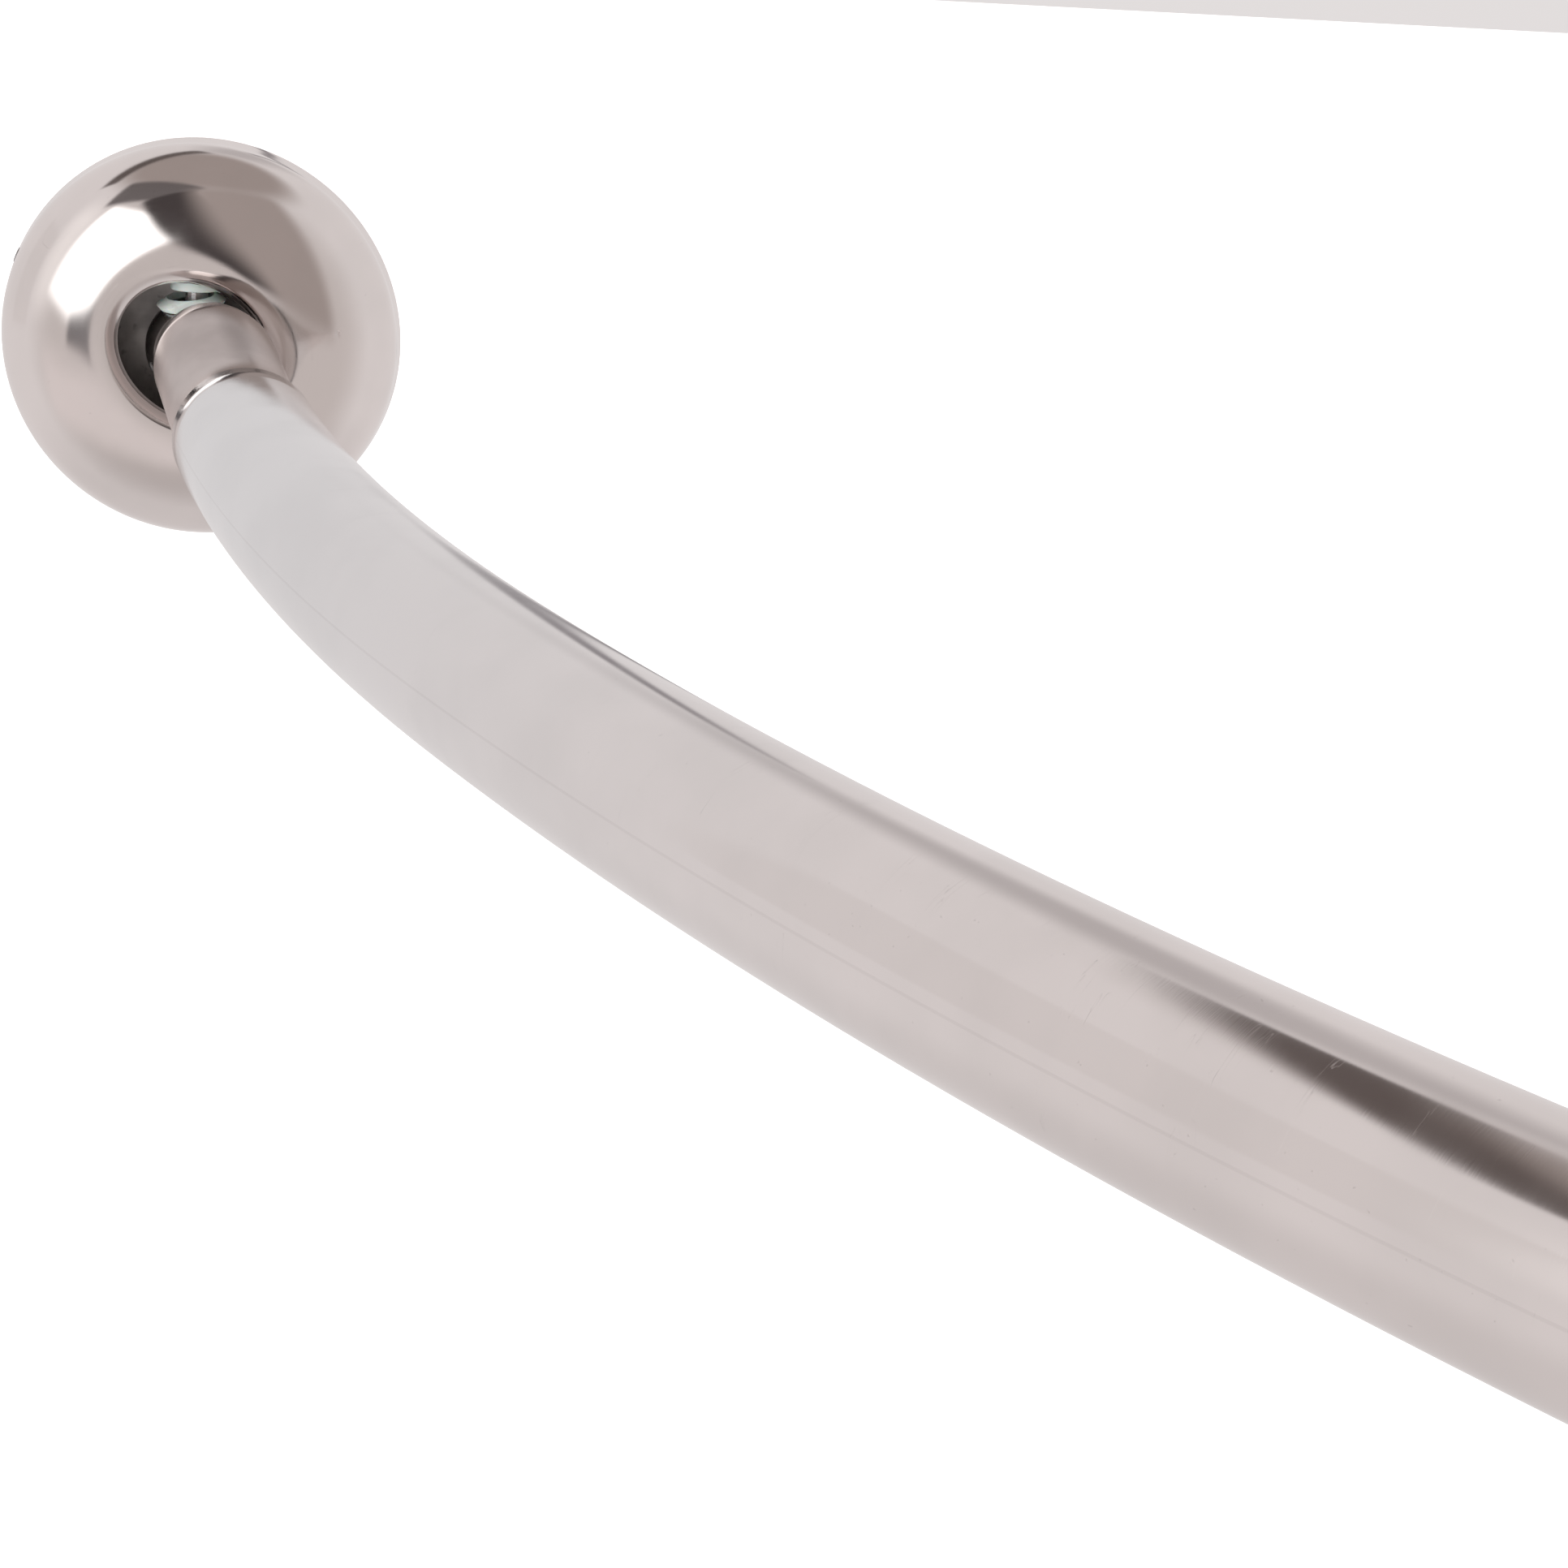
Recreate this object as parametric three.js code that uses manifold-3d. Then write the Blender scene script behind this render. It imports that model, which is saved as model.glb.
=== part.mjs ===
// Bowed shower rod with a swivelling domed flange at each end, in millimetres, +Z up.
//
// Frame: the origin is the centre of the left wall plate's back face. +X leaves that wall, +Z runs
// along the pivot pins and +Y is the side that the rod bends towards. As stored, both pivots are
// turned 12 degrees, so the two walls stand square to each other. Turning each pivot by 45 degrees
// the other way sets the rod between two facing walls. The bow hangs a little: the plane of the rod
// is tilted about the straight line between the two pivots, as far as the balls let it.
//
// Each end is a bent strip clevis on a dished wall plate. A ball on a vertical screw sits between its
// ears, with nylon washers above and below, and carries a cranked, bullet-nosed plug that holds the
// tube. A thin domed cover hides all of it and is held to the wall plate by two grub screws.

import * as THREE from "three";
import { mergeVertices } from "three/addons/utils/BufferGeometryUtils.js";
import Module from "manifold-3d";

const wasm = await Module();
wasm.setup();

const DEG = Math.PI / 180;
const GAP = 0.3;

// Rod: a 25.4 mm tube whose axis is five plain arcs, tighter towards its ends.
const TUBE_RADIUS = 12.7;
const TUBE_WALL = 0.8;
const TUBE_STEPS = 32;
const END_ARC = { radius: 580, angle: 13 * DEG };
const SHOULDER_ARC = { radius: 960, angle: 12 * DEG };
const MIDDLE_ARC = { radius: 2730, angle: 16 * DEG };
const ARCS = [END_ARC, SHOULDER_ARC, MIDDLE_ARC, SHOULDER_ARC, END_ARC];

// Pivot: its pin stands off the wall, and the tube starts well clear of it.
const PIVOT_HEIGHT = 14.5;
const PIVOT_TO_TUBE = 66;
const REST_SWIVEL = 12 * DEG;
const BOW_TILT = 8.3 * DEG;

// Ball and its neck.
const BALL_RADIUS = 9.9;
const BALL_BORE = 3.9;
const BALL_FLAT = 4.5;
const BALL_TOP = 8.8;
const NECK_RADIUS = 4.3;
const NECK_END = 24;

// Plug: a bullet nose outside the tube and a plain spigot inside it.
const SPIGOT_RADIUS = 11.4;
const SPIGOT_DEPTH = 9;
const SOCKET_DEPTH = 25.5;
const NOSE = [[10, 4.9], [12, 5.9], [15, 7.2], [19, 8.6], [24, 10.1], [31, SPIGOT_RADIUS]];

// The neck and the nose are cranked upwards: they rise over CRANK_RISE and come back over CRANK_FALL.
const CRANK = 4.4;
const CRANK_RISE = [1, 15];
const CRANK_FALL = [24, 62];
const CRANK_RINGS = [38, 45, 52, 58, 62];
const SOCKET_RINGS = [7, 10, 12, 15, 19];

// Washers on the pin: a flat one under each ear and a dished one on the ball.
const WASHER_RADIUS = 5;
const WASHER_BORE = 2.6;
const WASHER_BOTTOM = 11.35;
const WASHER_TOP = 13.3;
const SEAT_INNER = BALL_RADIUS + 0.25;
const SEAT_OUTER = 11.4;
const SEAT_BORE = 4.6;
const SEAT_SPREAD = 36 * DEG;
const SEAT_FLAT = 5;

// Clevis: one strip bent into a U, with rounded ears.
const STRIP_THICKNESS = 2;
const STRIP_HALF_WIDTH = 4;
const EAR_INSIDE = 13.6;
const EAR_OUTSIDE = EAR_INSIDE + STRIP_THICKNESS;
const STRIP_BACK = 2 + GAP;
const STRIP_FRONT = STRIP_BACK + STRIP_THICKNESS;
const BEND_RADIUS = 3.5;

// Pivot screw and nut.
const PIN_RADIUS = 2.2;
const HEAD_RADIUS = 3.9;
const HEAD_HEIGHT = 2.4;
const SLOT_LENGTH = 3.6;
const SLOT_WIDTH = 0.9;
const SLOT_DEPTH = 1.3;
const NUT_THICKNESS = 3.2;
const PIN_END = -(EAR_OUTSIDE + GAP + NUT_THICKNESS + 1);

// Wall plate: a shallow pressed dish with three countersunk screw holes.
const PLATE_RADIUS = 36;
const PLATE_THICKNESS = 2;
const PLATE_RIM_HEIGHT = 5.5;
const PLATE_RIM_THICKNESS = 1.6;
const SCREW_CIRCLE = 26;
const SCREW_HOLE_RADIUS = 2.6;
const COUNTERSINK_RADIUS = 4.6;

// Cover: a spun dome with a rolled-over lip round an oblong mouth.
const COVER_RADIUS = 39;
const COVER_BASE = 0.5;
const SKIRT_HEIGHT = 6;
const SKIRT_TAPER = 0.6;
const CREST_RADIUS = 18.1;
const CREST_HEIGHT = 22.3;
const LIP_RADIUS = 15;
const LIP_ROUND = 4.2;
const LIP_END = 140 * DEG;
const SHEET = 1;
const MOUTH_LONG = 15.1;
const MOUTH_SHORT = 12.7;
const COVER_TURN = 31 * DEG;
const GRUB_ANGLES = { upper: 188 * DEG, lower: 233 * DEG };
const GRUB_RADIUS = 1.5;
const GRUB_SOCKET_RADIUS = 0.8;
const GRUB_SOCKET_DEPTH = 1.4;
const GRUB_HEIGHT = 3.2;
const GRUB_HOLE = 1.8;
const GRUB_INNER = PLATE_RADIUS + 0.4;
const GRUB_OUTER = 38.8;

// Facets round a full turn.
const COVER_SIDES = 32;
const TUBE_SIDES = 24;
const ROUND_SIDES = 24;
const SMALL_SIDES = 16;

const nickel = { color: 0xd5cdca, metalness: 1, roughness: 0.12 };
const steel = { color: 0xa7a9ab, metalness: 1, roughness: 0.35 };
const nylon = { color: 0xe6eeea, metalness: 0, roughness: 0.45 };

// ---- Solids ----

function toSolid(geometry) {
  const bare = geometry.clone();
  bare.deleteAttribute("normal");
  bare.deleteAttribute("uv");
  const merged = mergeVertices(bare, 1e-4);
  return new wasm.Manifold(
    new wasm.Mesh({
      numProp: 3,
      vertProperties: merged.attributes.position.array,
      triVerts: new Uint32Array(merged.index.array),
    }),
  );
}

function toGeometry(solid) {
  const mesh = solid.getMesh();
  const geometry = new THREE.BufferGeometry();
  geometry.setAttribute("position", new THREE.BufferAttribute(mesh.vertProperties, 3));
  geometry.setIndex(new THREE.BufferAttribute(mesh.triVerts, 1));
  geometry.computeVertexNormals();
  return geometry;
}

function cut(geometry, ...tools) {
  return toGeometry(tools.reduce((solid, tool) => solid.subtract(toSolid(tool)), toSolid(geometry)));
}

// A solid of revolution about +Z. The outline is [radius, height] points, with the material on
// the left of the way it runs. It starts and ends on the axis, or it is closed here on itself.
function turned(outline, sides) {
  const points = outline.map(([radius, height]) => new THREE.Vector2(radius, height));
  if (points[0].x > 0) points.push(points[0].clone());
  const geometry = new THREE.LatheGeometry(points, sides);
  geometry.rotateX(Math.PI / 2);
  return geometry;
}

// The same about +X.
function turnedAlongX(outline, sides) {
  const geometry = turned(outline, sides);
  geometry.rotateY(Math.PI / 2);
  return geometry;
}

function rod(radius, from, to, sides) {
  return turned([[0, from], [radius, from], [radius, to], [0, to]], sides);
}

function rodAlongX(radius, from, to, sides) {
  return turnedAlongX([[0, from], [radius, from], [radius, to], [0, to]], sides);
}

// Points on a quarter ellipse from angle `from` to angle `to`, both ends included.
function arcPoints(centre, semi, from, to, count) {
  return Array.from({ length: count + 1 }, (_, i) => {
    const angle = from + ((to - from) * i) / count;
    return [centre[0] + semi[0] * Math.cos(angle), centre[1] + semi[1] * Math.sin(angle)];
  });
}

function named(name, geometry, finish) {
  const mesh = new THREE.Mesh(geometry, new THREE.MeshStandardMaterial(finish));
  mesh.name = name;
  return mesh;
}

// ---- Axis of the tube ----

// The axis in its own frame: it starts at the origin along +X and bends towards +Y.
class BowedAxis extends THREE.Curve {
  getPoint(t, target = new THREE.Vector3()) {
    let left = t * axisLength;
    let heading = 0;
    target.set(0, 0, 0);
    for (const { radius, angle } of ARCS) {
      const turn = Math.min(left / radius, angle);
      target.x += radius * (Math.sin(heading + turn) - Math.sin(heading));
      target.y += radius * (Math.cos(heading) - Math.cos(heading + turn));
      heading += turn;
      left -= turn * radius;
    }
    return target;
  }
}

const axisLength = ARCS.reduce((sum, { radius, angle }) => sum + radius * angle, 0);
const axisTurn = ARCS.reduce((sum, { angle }) => sum + angle, 0);

function tube() {
  const section = new THREE.Shape().absarc(0, 0, TUBE_RADIUS, 0, 2 * Math.PI);
  section.holes.push(new THREE.Path().absarc(0, 0, TUBE_RADIUS - TUBE_WALL, 0, 2 * Math.PI, true));
  return new THREE.ExtrudeGeometry(section, {
    steps: TUBE_STEPS,
    curveSegments: TUBE_SIDES / 2,
    bevelEnabled: false,
    extrudePath: new BowedAxis(),
  });
}

// ---- Pieces on the rod, in the pivot's frame: +X along the rod, +Z along the pin ----

function smoothStep([from, to], value) {
  return THREE.MathUtils.smoothstep(value, from, to);
}

// Bends a piece that runs along +X upwards and back again, as the plug and its neck are cranked.
function cranked(geometry) {
  const position = geometry.getAttribute("position");
  for (let i = 0; i < position.count; i++) {
    const x = position.getX(i);
    const rise = CRANK * smoothStep(CRANK_RISE, x) * (1 - smoothStep(CRANK_FALL, x));
    position.setZ(i, position.getZ(i) + rise);
  }
  return geometry;
}

function swivelBall() {
  const start = Math.asin(BALL_TOP / BALL_RADIUS);
  const ball = turned(
    [
      [BALL_BORE, -BALL_TOP],
      ...arcPoints([0, 0], [BALL_RADIUS, BALL_RADIUS], -start, start, 12),
      [BALL_BORE, BALL_TOP],
    ],
    ROUND_SIDES,
  );
  const front = new THREE.BoxGeometry(BALL_RADIUS, 3 * BALL_RADIUS, 3 * BALL_RADIUS);
  front.translate(BALL_FLAT + BALL_RADIUS / 2, 0, 0);
  const neck = turnedAlongX(
    [
      [0, BALL_FLAT - 1],
      ...[BALL_FLAT - 1, ...SOCKET_RINGS].map((along) => [NECK_RADIUS, along]),
      [NECK_RADIUS, NECK_END],
      [0, NECK_END],
    ],
    ROUND_SIDES,
  );
  return toGeometry(toSolid(ball).subtract(toSolid(front)).add(toSolid(cranked(neck))));
}

function endPlug() {
  const nose = new THREE.SplineCurve(NOSE.map(([along, radius]) => new THREE.Vector2(radius, along)));
  const socket = NECK_RADIUS + GAP;
  const end = PIVOT_TO_TUBE + SPIGOT_DEPTH;
  const plug = turnedAlongX(
    [
      [0, SOCKET_DEPTH],
      [socket, SOCKET_DEPTH],
      ...SOCKET_RINGS.slice(1).reverse().map((along) => [socket, along]),
      ...nose.getPoints(9).map((point) => [point.x, point.y]),
      ...CRANK_RINGS.map((along) => [SPIGOT_RADIUS, along]),
      [SPIGOT_RADIUS, end - 1],
      [SPIGOT_RADIUS - 1, end],
      [0, end],
    ],
    ROUND_SIDES,
  );
  return cranked(plug);
}

// side is 1 for the piece above the ball and -1 for the one below. Its front is cut off straight.
function seatWasher(side) {
  const start = Math.PI / 2 - Math.asin(SEAT_BORE / SEAT_OUTER);
  const startInner = Math.PI / 2 - Math.asin(SEAT_BORE / SEAT_INNER);
  const end = Math.PI / 2 - SEAT_SPREAD;
  const geometry = turned(
    [
      ...arcPoints([0, 0], [SEAT_INNER, SEAT_INNER], startInner, end, 3),
      ...arcPoints([0, 0], [SEAT_OUTER, SEAT_OUTER], end, start, 3),
    ],
    ROUND_SIDES,
  );
  if (side < 0) geometry.rotateX(Math.PI);
  const front = new THREE.BoxGeometry(SEAT_OUTER, 3 * SEAT_OUTER, 3 * SEAT_OUTER);
  front.translate(SEAT_FLAT + SEAT_OUTER / 2, 0, 0);
  return cut(geometry, front);
}

// ---- Pieces on the wall, in the flange's frame: +X away from the wall, +Z along the pin ----

function flatWasher(side) {
  const geometry = turned(
    [
      [WASHER_BORE, WASHER_BOTTOM],
      [WASHER_RADIUS, WASHER_BOTTOM],
      [WASHER_RADIUS, WASHER_TOP],
      [WASHER_BORE, WASHER_TOP],
    ],
    ROUND_SIDES,
  );
  if (side < 0) geometry.rotateX(Math.PI);
  return geometry;
}

function pivotScrew() {
  const under = EAR_OUTSIDE + GAP;
  const top = under + HEAD_HEIGHT;
  const screw = turned(
    [
      [0, PIN_END],
      [PIN_RADIUS, PIN_END],
      [PIN_RADIUS, under],
      [HEAD_RADIUS, under],
      [HEAD_RADIUS, under + HEAD_HEIGHT / 2],
      [HEAD_RADIUS * 0.75, top - 0.3],
      [HEAD_RADIUS * 0.4, top],
      [0, top],
    ],
    SMALL_SIDES,
  );
  const slot = new THREE.BoxGeometry(SLOT_LENGTH, SLOT_WIDTH, 2 * SLOT_DEPTH);
  slot.translate(0, 0, top);
  const crossSlot = slot.clone().rotateZ(Math.PI / 2);
  return cut(screw, slot, crossSlot);
}

function pivotNut() {
  const top = -(EAR_OUTSIDE + GAP);
  const bottom = top - NUT_THICKNESS;
  return cut(rod(HEAD_RADIUS, bottom, top, 6), rod(PIN_RADIUS + 0.2, bottom - 1, top + 1, SMALL_SIDES));
}

// A U-shaped band bent from strip, its ears rounded about the pin and drilled for it.
function clevis() {
  const band = new THREE.Shape();
  const tip = PIVOT_HEIGHT + STRIP_HALF_WIDTH;
  const inner = BEND_RADIUS - STRIP_THICKNESS;
  band.moveTo(tip, -EAR_OUTSIDE);
  band.lineTo(tip, -EAR_INSIDE);
  band.absarc(STRIP_FRONT + inner, -EAR_INSIDE + inner, inner, -Math.PI / 2, -Math.PI, true);
  band.absarc(STRIP_FRONT + inner, EAR_INSIDE - inner, inner, Math.PI, Math.PI / 2, true);
  band.lineTo(tip, EAR_INSIDE);
  band.lineTo(tip, EAR_OUTSIDE);
  band.absarc(STRIP_BACK + BEND_RADIUS, EAR_OUTSIDE - BEND_RADIUS, BEND_RADIUS, Math.PI / 2, Math.PI);
  band.absarc(STRIP_BACK + BEND_RADIUS, BEND_RADIUS - EAR_OUTSIDE, BEND_RADIUS, Math.PI, 1.5 * Math.PI);
  const strip = new THREE.ExtrudeGeometry(band, {
    depth: 2 * STRIP_HALF_WIDTH,
    curveSegments: 6,
    bevelEnabled: false,
  });
  strip.translate(0, 0, -STRIP_HALF_WIDTH);
  strip.rotateX(Math.PI / 2);

  const plan = new THREE.Shape();
  plan.moveTo(0, -STRIP_HALF_WIDTH - 1);
  plan.lineTo(PIVOT_HEIGHT, -STRIP_HALF_WIDTH - 1);
  plan.lineTo(PIVOT_HEIGHT, -STRIP_HALF_WIDTH);
  plan.absarc(PIVOT_HEIGHT, 0, STRIP_HALF_WIDTH, -Math.PI / 2, Math.PI / 2);
  plan.lineTo(PIVOT_HEIGHT, STRIP_HALF_WIDTH + 1);
  plan.lineTo(0, STRIP_HALF_WIDTH + 1);
  const rounding = new THREE.ExtrudeGeometry(plan, {
    depth: 4 * EAR_OUTSIDE,
    curveSegments: 12,
    bevelEnabled: false,
  });
  rounding.translate(0, 0, -2 * EAR_OUTSIDE);

  const pinHole = rod(PIN_RADIUS + 0.3, -2 * EAR_OUTSIDE, 2 * EAR_OUTSIDE, SMALL_SIDES);
  pinHole.translate(PIVOT_HEIGHT, 0, 0);
  return toGeometry(toSolid(strip).intersect(toSolid(rounding)).subtract(toSolid(pinHole)));
}

function wallPlate() {
  const dish = turnedAlongX(
    [
      [0, 0],
      [PLATE_RADIUS, 0],
      [PLATE_RADIUS, PLATE_RIM_HEIGHT],
      [PLATE_RADIUS - PLATE_RIM_THICKNESS, PLATE_RIM_HEIGHT],
      [PLATE_RADIUS - PLATE_RIM_THICKNESS, PLATE_THICKNESS],
      [0, PLATE_THICKNESS],
    ],
    COVER_SIDES,
  );
  const holes = [90, 210, 330].map((angle) => {
    const hole = turnedAlongX(
      [
        [0, -1],
        [SCREW_HOLE_RADIUS, -1],
        [SCREW_HOLE_RADIUS, 0.6],
        [COUNTERSINK_RADIUS, PLATE_THICKNESS + 0.6],
        [0, PLATE_THICKNESS + 0.6],
      ],
      ROUND_SIDES,
    );
    hole.translate(0, SCREW_CIRCLE * Math.cos(angle * DEG), SCREW_CIRCLE * Math.sin(angle * DEG));
    return hole;
  });
  return cut(dish, ...holes);
}

// ---- Cover, in its own frame: +X away from the wall, its mouth long along Y ----

function mouthRadius(angle) {
  return 1 / Math.hypot(Math.cos(angle) / MOUTH_LONG, Math.sin(angle) / MOUTH_SHORT);
}

// Turns the round mouth of a revolved dome into an oblong one. The change fades out at the skirt.
function stretchMouth(geometry) {
  const position = geometry.getAttribute("position");
  const skirt = COVER_RADIUS - SKIRT_TAPER;
  for (let i = 0; i < position.count; i++) {
    const y = position.getY(i);
    const z = position.getZ(i);
    const radius = Math.hypot(y, z);
    const fade = THREE.MathUtils.clamp((skirt - radius) / (skirt - CREST_RADIUS), 0, 1);
    const stretched = radius + (mouthRadius(Math.atan2(z, y)) - LIP_RADIUS) * fade ** 1.5;
    position.setY(i, (y * stretched) / radius);
    position.setZ(i, (z * stretched) / radius);
  }
  return geometry;
}

function cover() {
  const skirtTop = COVER_RADIUS - SKIRT_TAPER;
  const dome = [skirtTop - CREST_RADIUS, CREST_HEIGHT - SKIRT_HEIGHT];
  const lip = [(LIP_RADIUS - CREST_RADIUS) / Math.cos(LIP_END), LIP_ROUND];
  const domeCentre = [CREST_RADIUS, SKIRT_HEIGHT];
  const lipCentre = [CREST_RADIUS, CREST_HEIGHT - LIP_ROUND];
  const inside = (semi) => semi.map((value) => value - SHEET);
  const quarter = Math.PI / 2;
  const shell = turnedAlongX(
    [
      [COVER_RADIUS, COVER_BASE],
      ...arcPoints(domeCentre, dome, 0, quarter, 7),
      ...arcPoints(lipCentre, lip, quarter, LIP_END, 4).slice(1),
      ...arcPoints(lipCentre, inside(lip), LIP_END, quarter, 3),
      ...arcPoints(domeCentre, inside(dome), quarter, 0, 7).slice(1),
      [COVER_RADIUS - SHEET, COVER_BASE],
    ],
    COVER_SIDES,
  );
  const holes = Object.values(GRUB_ANGLES).map((angle) =>
    atGrub(rodAlongX(GRUB_HOLE, -3, 3, SMALL_SIDES), COVER_RADIUS - SHEET / 2, angle),
  );
  return cut(stretchMouth(shell), ...holes);
}

// Moves a piece made along +X to a grub screw's place, pointing outwards through the skirt.
function atGrub(geometry, radius, angle) {
  geometry.rotateZ(Math.PI / 2);
  geometry.rotateX(angle);
  geometry.translate(GRUB_HEIGHT, radius * Math.cos(angle), radius * Math.sin(angle));
  return geometry;
}

function grubScrew(angle) {
  const length = GRUB_OUTER - GRUB_INNER;
  const body = rodAlongX(GRUB_RADIUS, 0, length, 12);
  const socket = rodAlongX(GRUB_SOCKET_RADIUS, length - GRUB_SOCKET_DEPTH, length + 1, 6);
  return atGrub(cut(body, socket), GRUB_INNER, angle);
}

// ---- Assembly ----

function rodEnd(side) {
  const group = new THREE.Group();
  group.add(
    named(`${side}_swivel_ball`, swivelBall(), steel),
    named(`${side}_end_plug`, endPlug(), nickel),
    named(`${side}_upper_seat_washer`, seatWasher(1), nylon),
    named(`${side}_lower_seat_washer`, seatWasher(-1), nylon),
  );
  return group;
}

function flange(side, turn) {
  const group = new THREE.Group();
  group.add(named(`${side}_wall_plate`, wallPlate(), steel));
  group.add(named(`${side}_clevis`, clevis(), steel));

  const stack = new THREE.Group();
  stack.position.x = PIVOT_HEIGHT;
  stack.add(
    named(`${side}_upper_washer`, flatWasher(1), nylon),
    named(`${side}_lower_washer`, flatWasher(-1), nylon),
    named(`${side}_pivot_screw`, pivotScrew(), steel),
    named(`${side}_pivot_nut`, pivotNut(), steel),
  );
  group.add(stack);

  const cap = new THREE.Group();
  cap.rotation.x = turn;
  cap.add(named(`${side}_cover`, cover(), nickel));
  for (const [place, angle] of Object.entries(GRUB_ANGLES)) {
    cap.add(named(`${side}_cover_screw_${place}`, grubScrew(angle), steel));
  }
  group.add(cap);
  return group;
}

// Places a group in the plane Z = 0, its +X turned to a heading.
function place(group, x, y, heading) {
  group.position.set(x, y, 0);
  group.rotation.z = heading;
  return group;
}

// Walks from the left pivot along the tube to the right pivot and the right wall.
const endHeading = REST_SWIVEL + axisTurn;
const tubeStart = new THREE.Vector3(PIVOT_HEIGHT, 0, 0).add(
  new THREE.Vector3(PIVOT_TO_TUBE, 0, 0).applyAxisAngle(new THREE.Vector3(0, 0, 1), REST_SWIVEL),
);
const tubeEnd = new BowedAxis()
  .getPoint(1)
  .applyAxisAngle(new THREE.Vector3(0, 0, 1), REST_SWIVEL)
  .add(tubeStart);
const rightPivot = new THREE.Vector3(
  tubeEnd.x + PIVOT_TO_TUBE * Math.cos(endHeading),
  tubeEnd.y + PIVOT_TO_TUBE * Math.sin(endHeading),
  0,
);

// The rod is laid out in the plane Z = 0, then tilted about the line between the pivots.
const leftPivot = new THREE.Vector3(PIVOT_HEIGHT, 0, 0);
const chord = rightPivot.clone().sub(leftPivot).normalize();
const tubeGroup = new THREE.Group();
tubeGroup.add(named("tube", tube(), nickel));
const bowed = new THREE.Group();
bowed.add(
  place(rodEnd("left"), leftPivot.x, leftPivot.y, REST_SWIVEL),
  place(tubeGroup, tubeStart.x, tubeStart.y, REST_SWIVEL),
  place(rodEnd("right"), rightPivot.x, rightPivot.y, endHeading + Math.PI),
);
bowed.quaternion.setFromAxisAngle(chord, BOW_TILT);
bowed.position.copy(leftPivot).sub(leftPivot.clone().applyQuaternion(bowed.quaternion));

const showerRod = new THREE.Group();
showerRod.add(
  place(flange("left", -COVER_TURN), 0, 0, 0),
  bowed,
  place(flange("right", COVER_TURN), rightPivot.x, rightPivot.y + PIVOT_HEIGHT, -Math.PI / 2),
);

export default showerRod;
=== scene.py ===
"""Looks of the bowed shower rod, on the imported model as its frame. Lengths in metres, +Z up.

The frame's origin is the left wall plate's back face, +X leaves that wall and the rod bends towards +Y.
The tube, covers, plugs, balls and washers are replaced by finer meshes of the same size and place.
The plates, clevises, screws and nuts keep their CAD shape. All of them get procedural finishes.
"""
import math

import bmesh
import bpy
from mathutils import Matrix, Vector


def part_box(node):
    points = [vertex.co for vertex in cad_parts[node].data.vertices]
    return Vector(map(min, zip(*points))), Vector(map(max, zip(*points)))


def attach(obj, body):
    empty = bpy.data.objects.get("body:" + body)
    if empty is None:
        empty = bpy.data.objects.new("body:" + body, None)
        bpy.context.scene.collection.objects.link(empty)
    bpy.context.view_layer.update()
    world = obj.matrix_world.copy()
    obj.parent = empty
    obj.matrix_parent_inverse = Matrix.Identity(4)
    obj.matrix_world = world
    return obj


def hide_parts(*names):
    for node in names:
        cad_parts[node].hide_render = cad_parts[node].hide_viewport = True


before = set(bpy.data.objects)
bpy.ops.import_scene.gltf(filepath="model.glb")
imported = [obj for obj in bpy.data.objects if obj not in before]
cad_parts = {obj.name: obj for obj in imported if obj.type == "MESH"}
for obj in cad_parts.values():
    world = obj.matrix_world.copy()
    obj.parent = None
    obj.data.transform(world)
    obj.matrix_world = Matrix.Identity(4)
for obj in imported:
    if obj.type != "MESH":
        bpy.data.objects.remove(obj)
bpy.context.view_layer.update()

MM = 0.001
SAME_PLACE = 1e-7
ON_AXIS = 1e-6
SHARP_ANGLE = math.radians(35)
SIDES = ("left", "right")

# Rod, as in the CAD model.
TUBE_RADIUS = 12.7 * MM
TUBE_WALL = 0.8 * MM
# The bends of the tube, as (radius in millimetres, degrees).
ARCS = [(580, 13), (960, 12), (2730, 16), (960, 12), (580, 13)]
REST_SWIVEL = math.radians(12)
BOW_TILT = math.radians(8.3)
PIVOT_HEIGHT = 14.5 * MM
PIVOT_TO_TUBE = 66 * MM

# A faint dark line is painted along the tube as a painted reflection of a dark streak, at this angle from
# the bow's side towards the top.
PAINTED_STREAK_ANGLE = math.radians(167)
PAINTED_STREAK_HALF_WIDTH = math.radians(1.2)
# The tube's colour is a little cooler over this length in millimetres at each end.
COOL_LENGTH = 300

# Ball and plug.
BALL_RADIUS = 9.9 * MM
BALL_BORE = 3.9 * MM
BALL_FLAT = 4.5 * MM
BALL_TOP = 8.8 * MM
NECK_RADIUS = 4.3 * MM
NECK_END = 24 * MM
SPIGOT_RADIUS = 11.4 * MM
SPIGOT_DEPTH = 9 * MM
SOCKET_DEPTH = 25.5 * MM
SOCKET_GAP = 0.3 * MM
# The nose's outline, as (place along the rod, radius) in millimetres.
NOSE = [(10, 4.9), (12, 5.9), (15, 7.2), (19, 8.6), (24, 10.1), (31, 11.4)]
CRANK = 4.4 * MM
CRANK_RISE = (1 * MM, 15 * MM)
CRANK_FALL = (24 * MM, 62 * MM)

# Washers.
WASHER = {"bore": 2.6 * MM, "radius": 5 * MM, "bottom": 11.35 * MM, "top": 13.3 * MM}
SEAT_INNER = BALL_RADIUS + 0.25 * MM
SEAT_OUTER = 11.4 * MM
SEAT_BORE = 4.6 * MM
SEAT_SPREAD = math.radians(36)
SEAT_FLAT = 5 * MM

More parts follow.
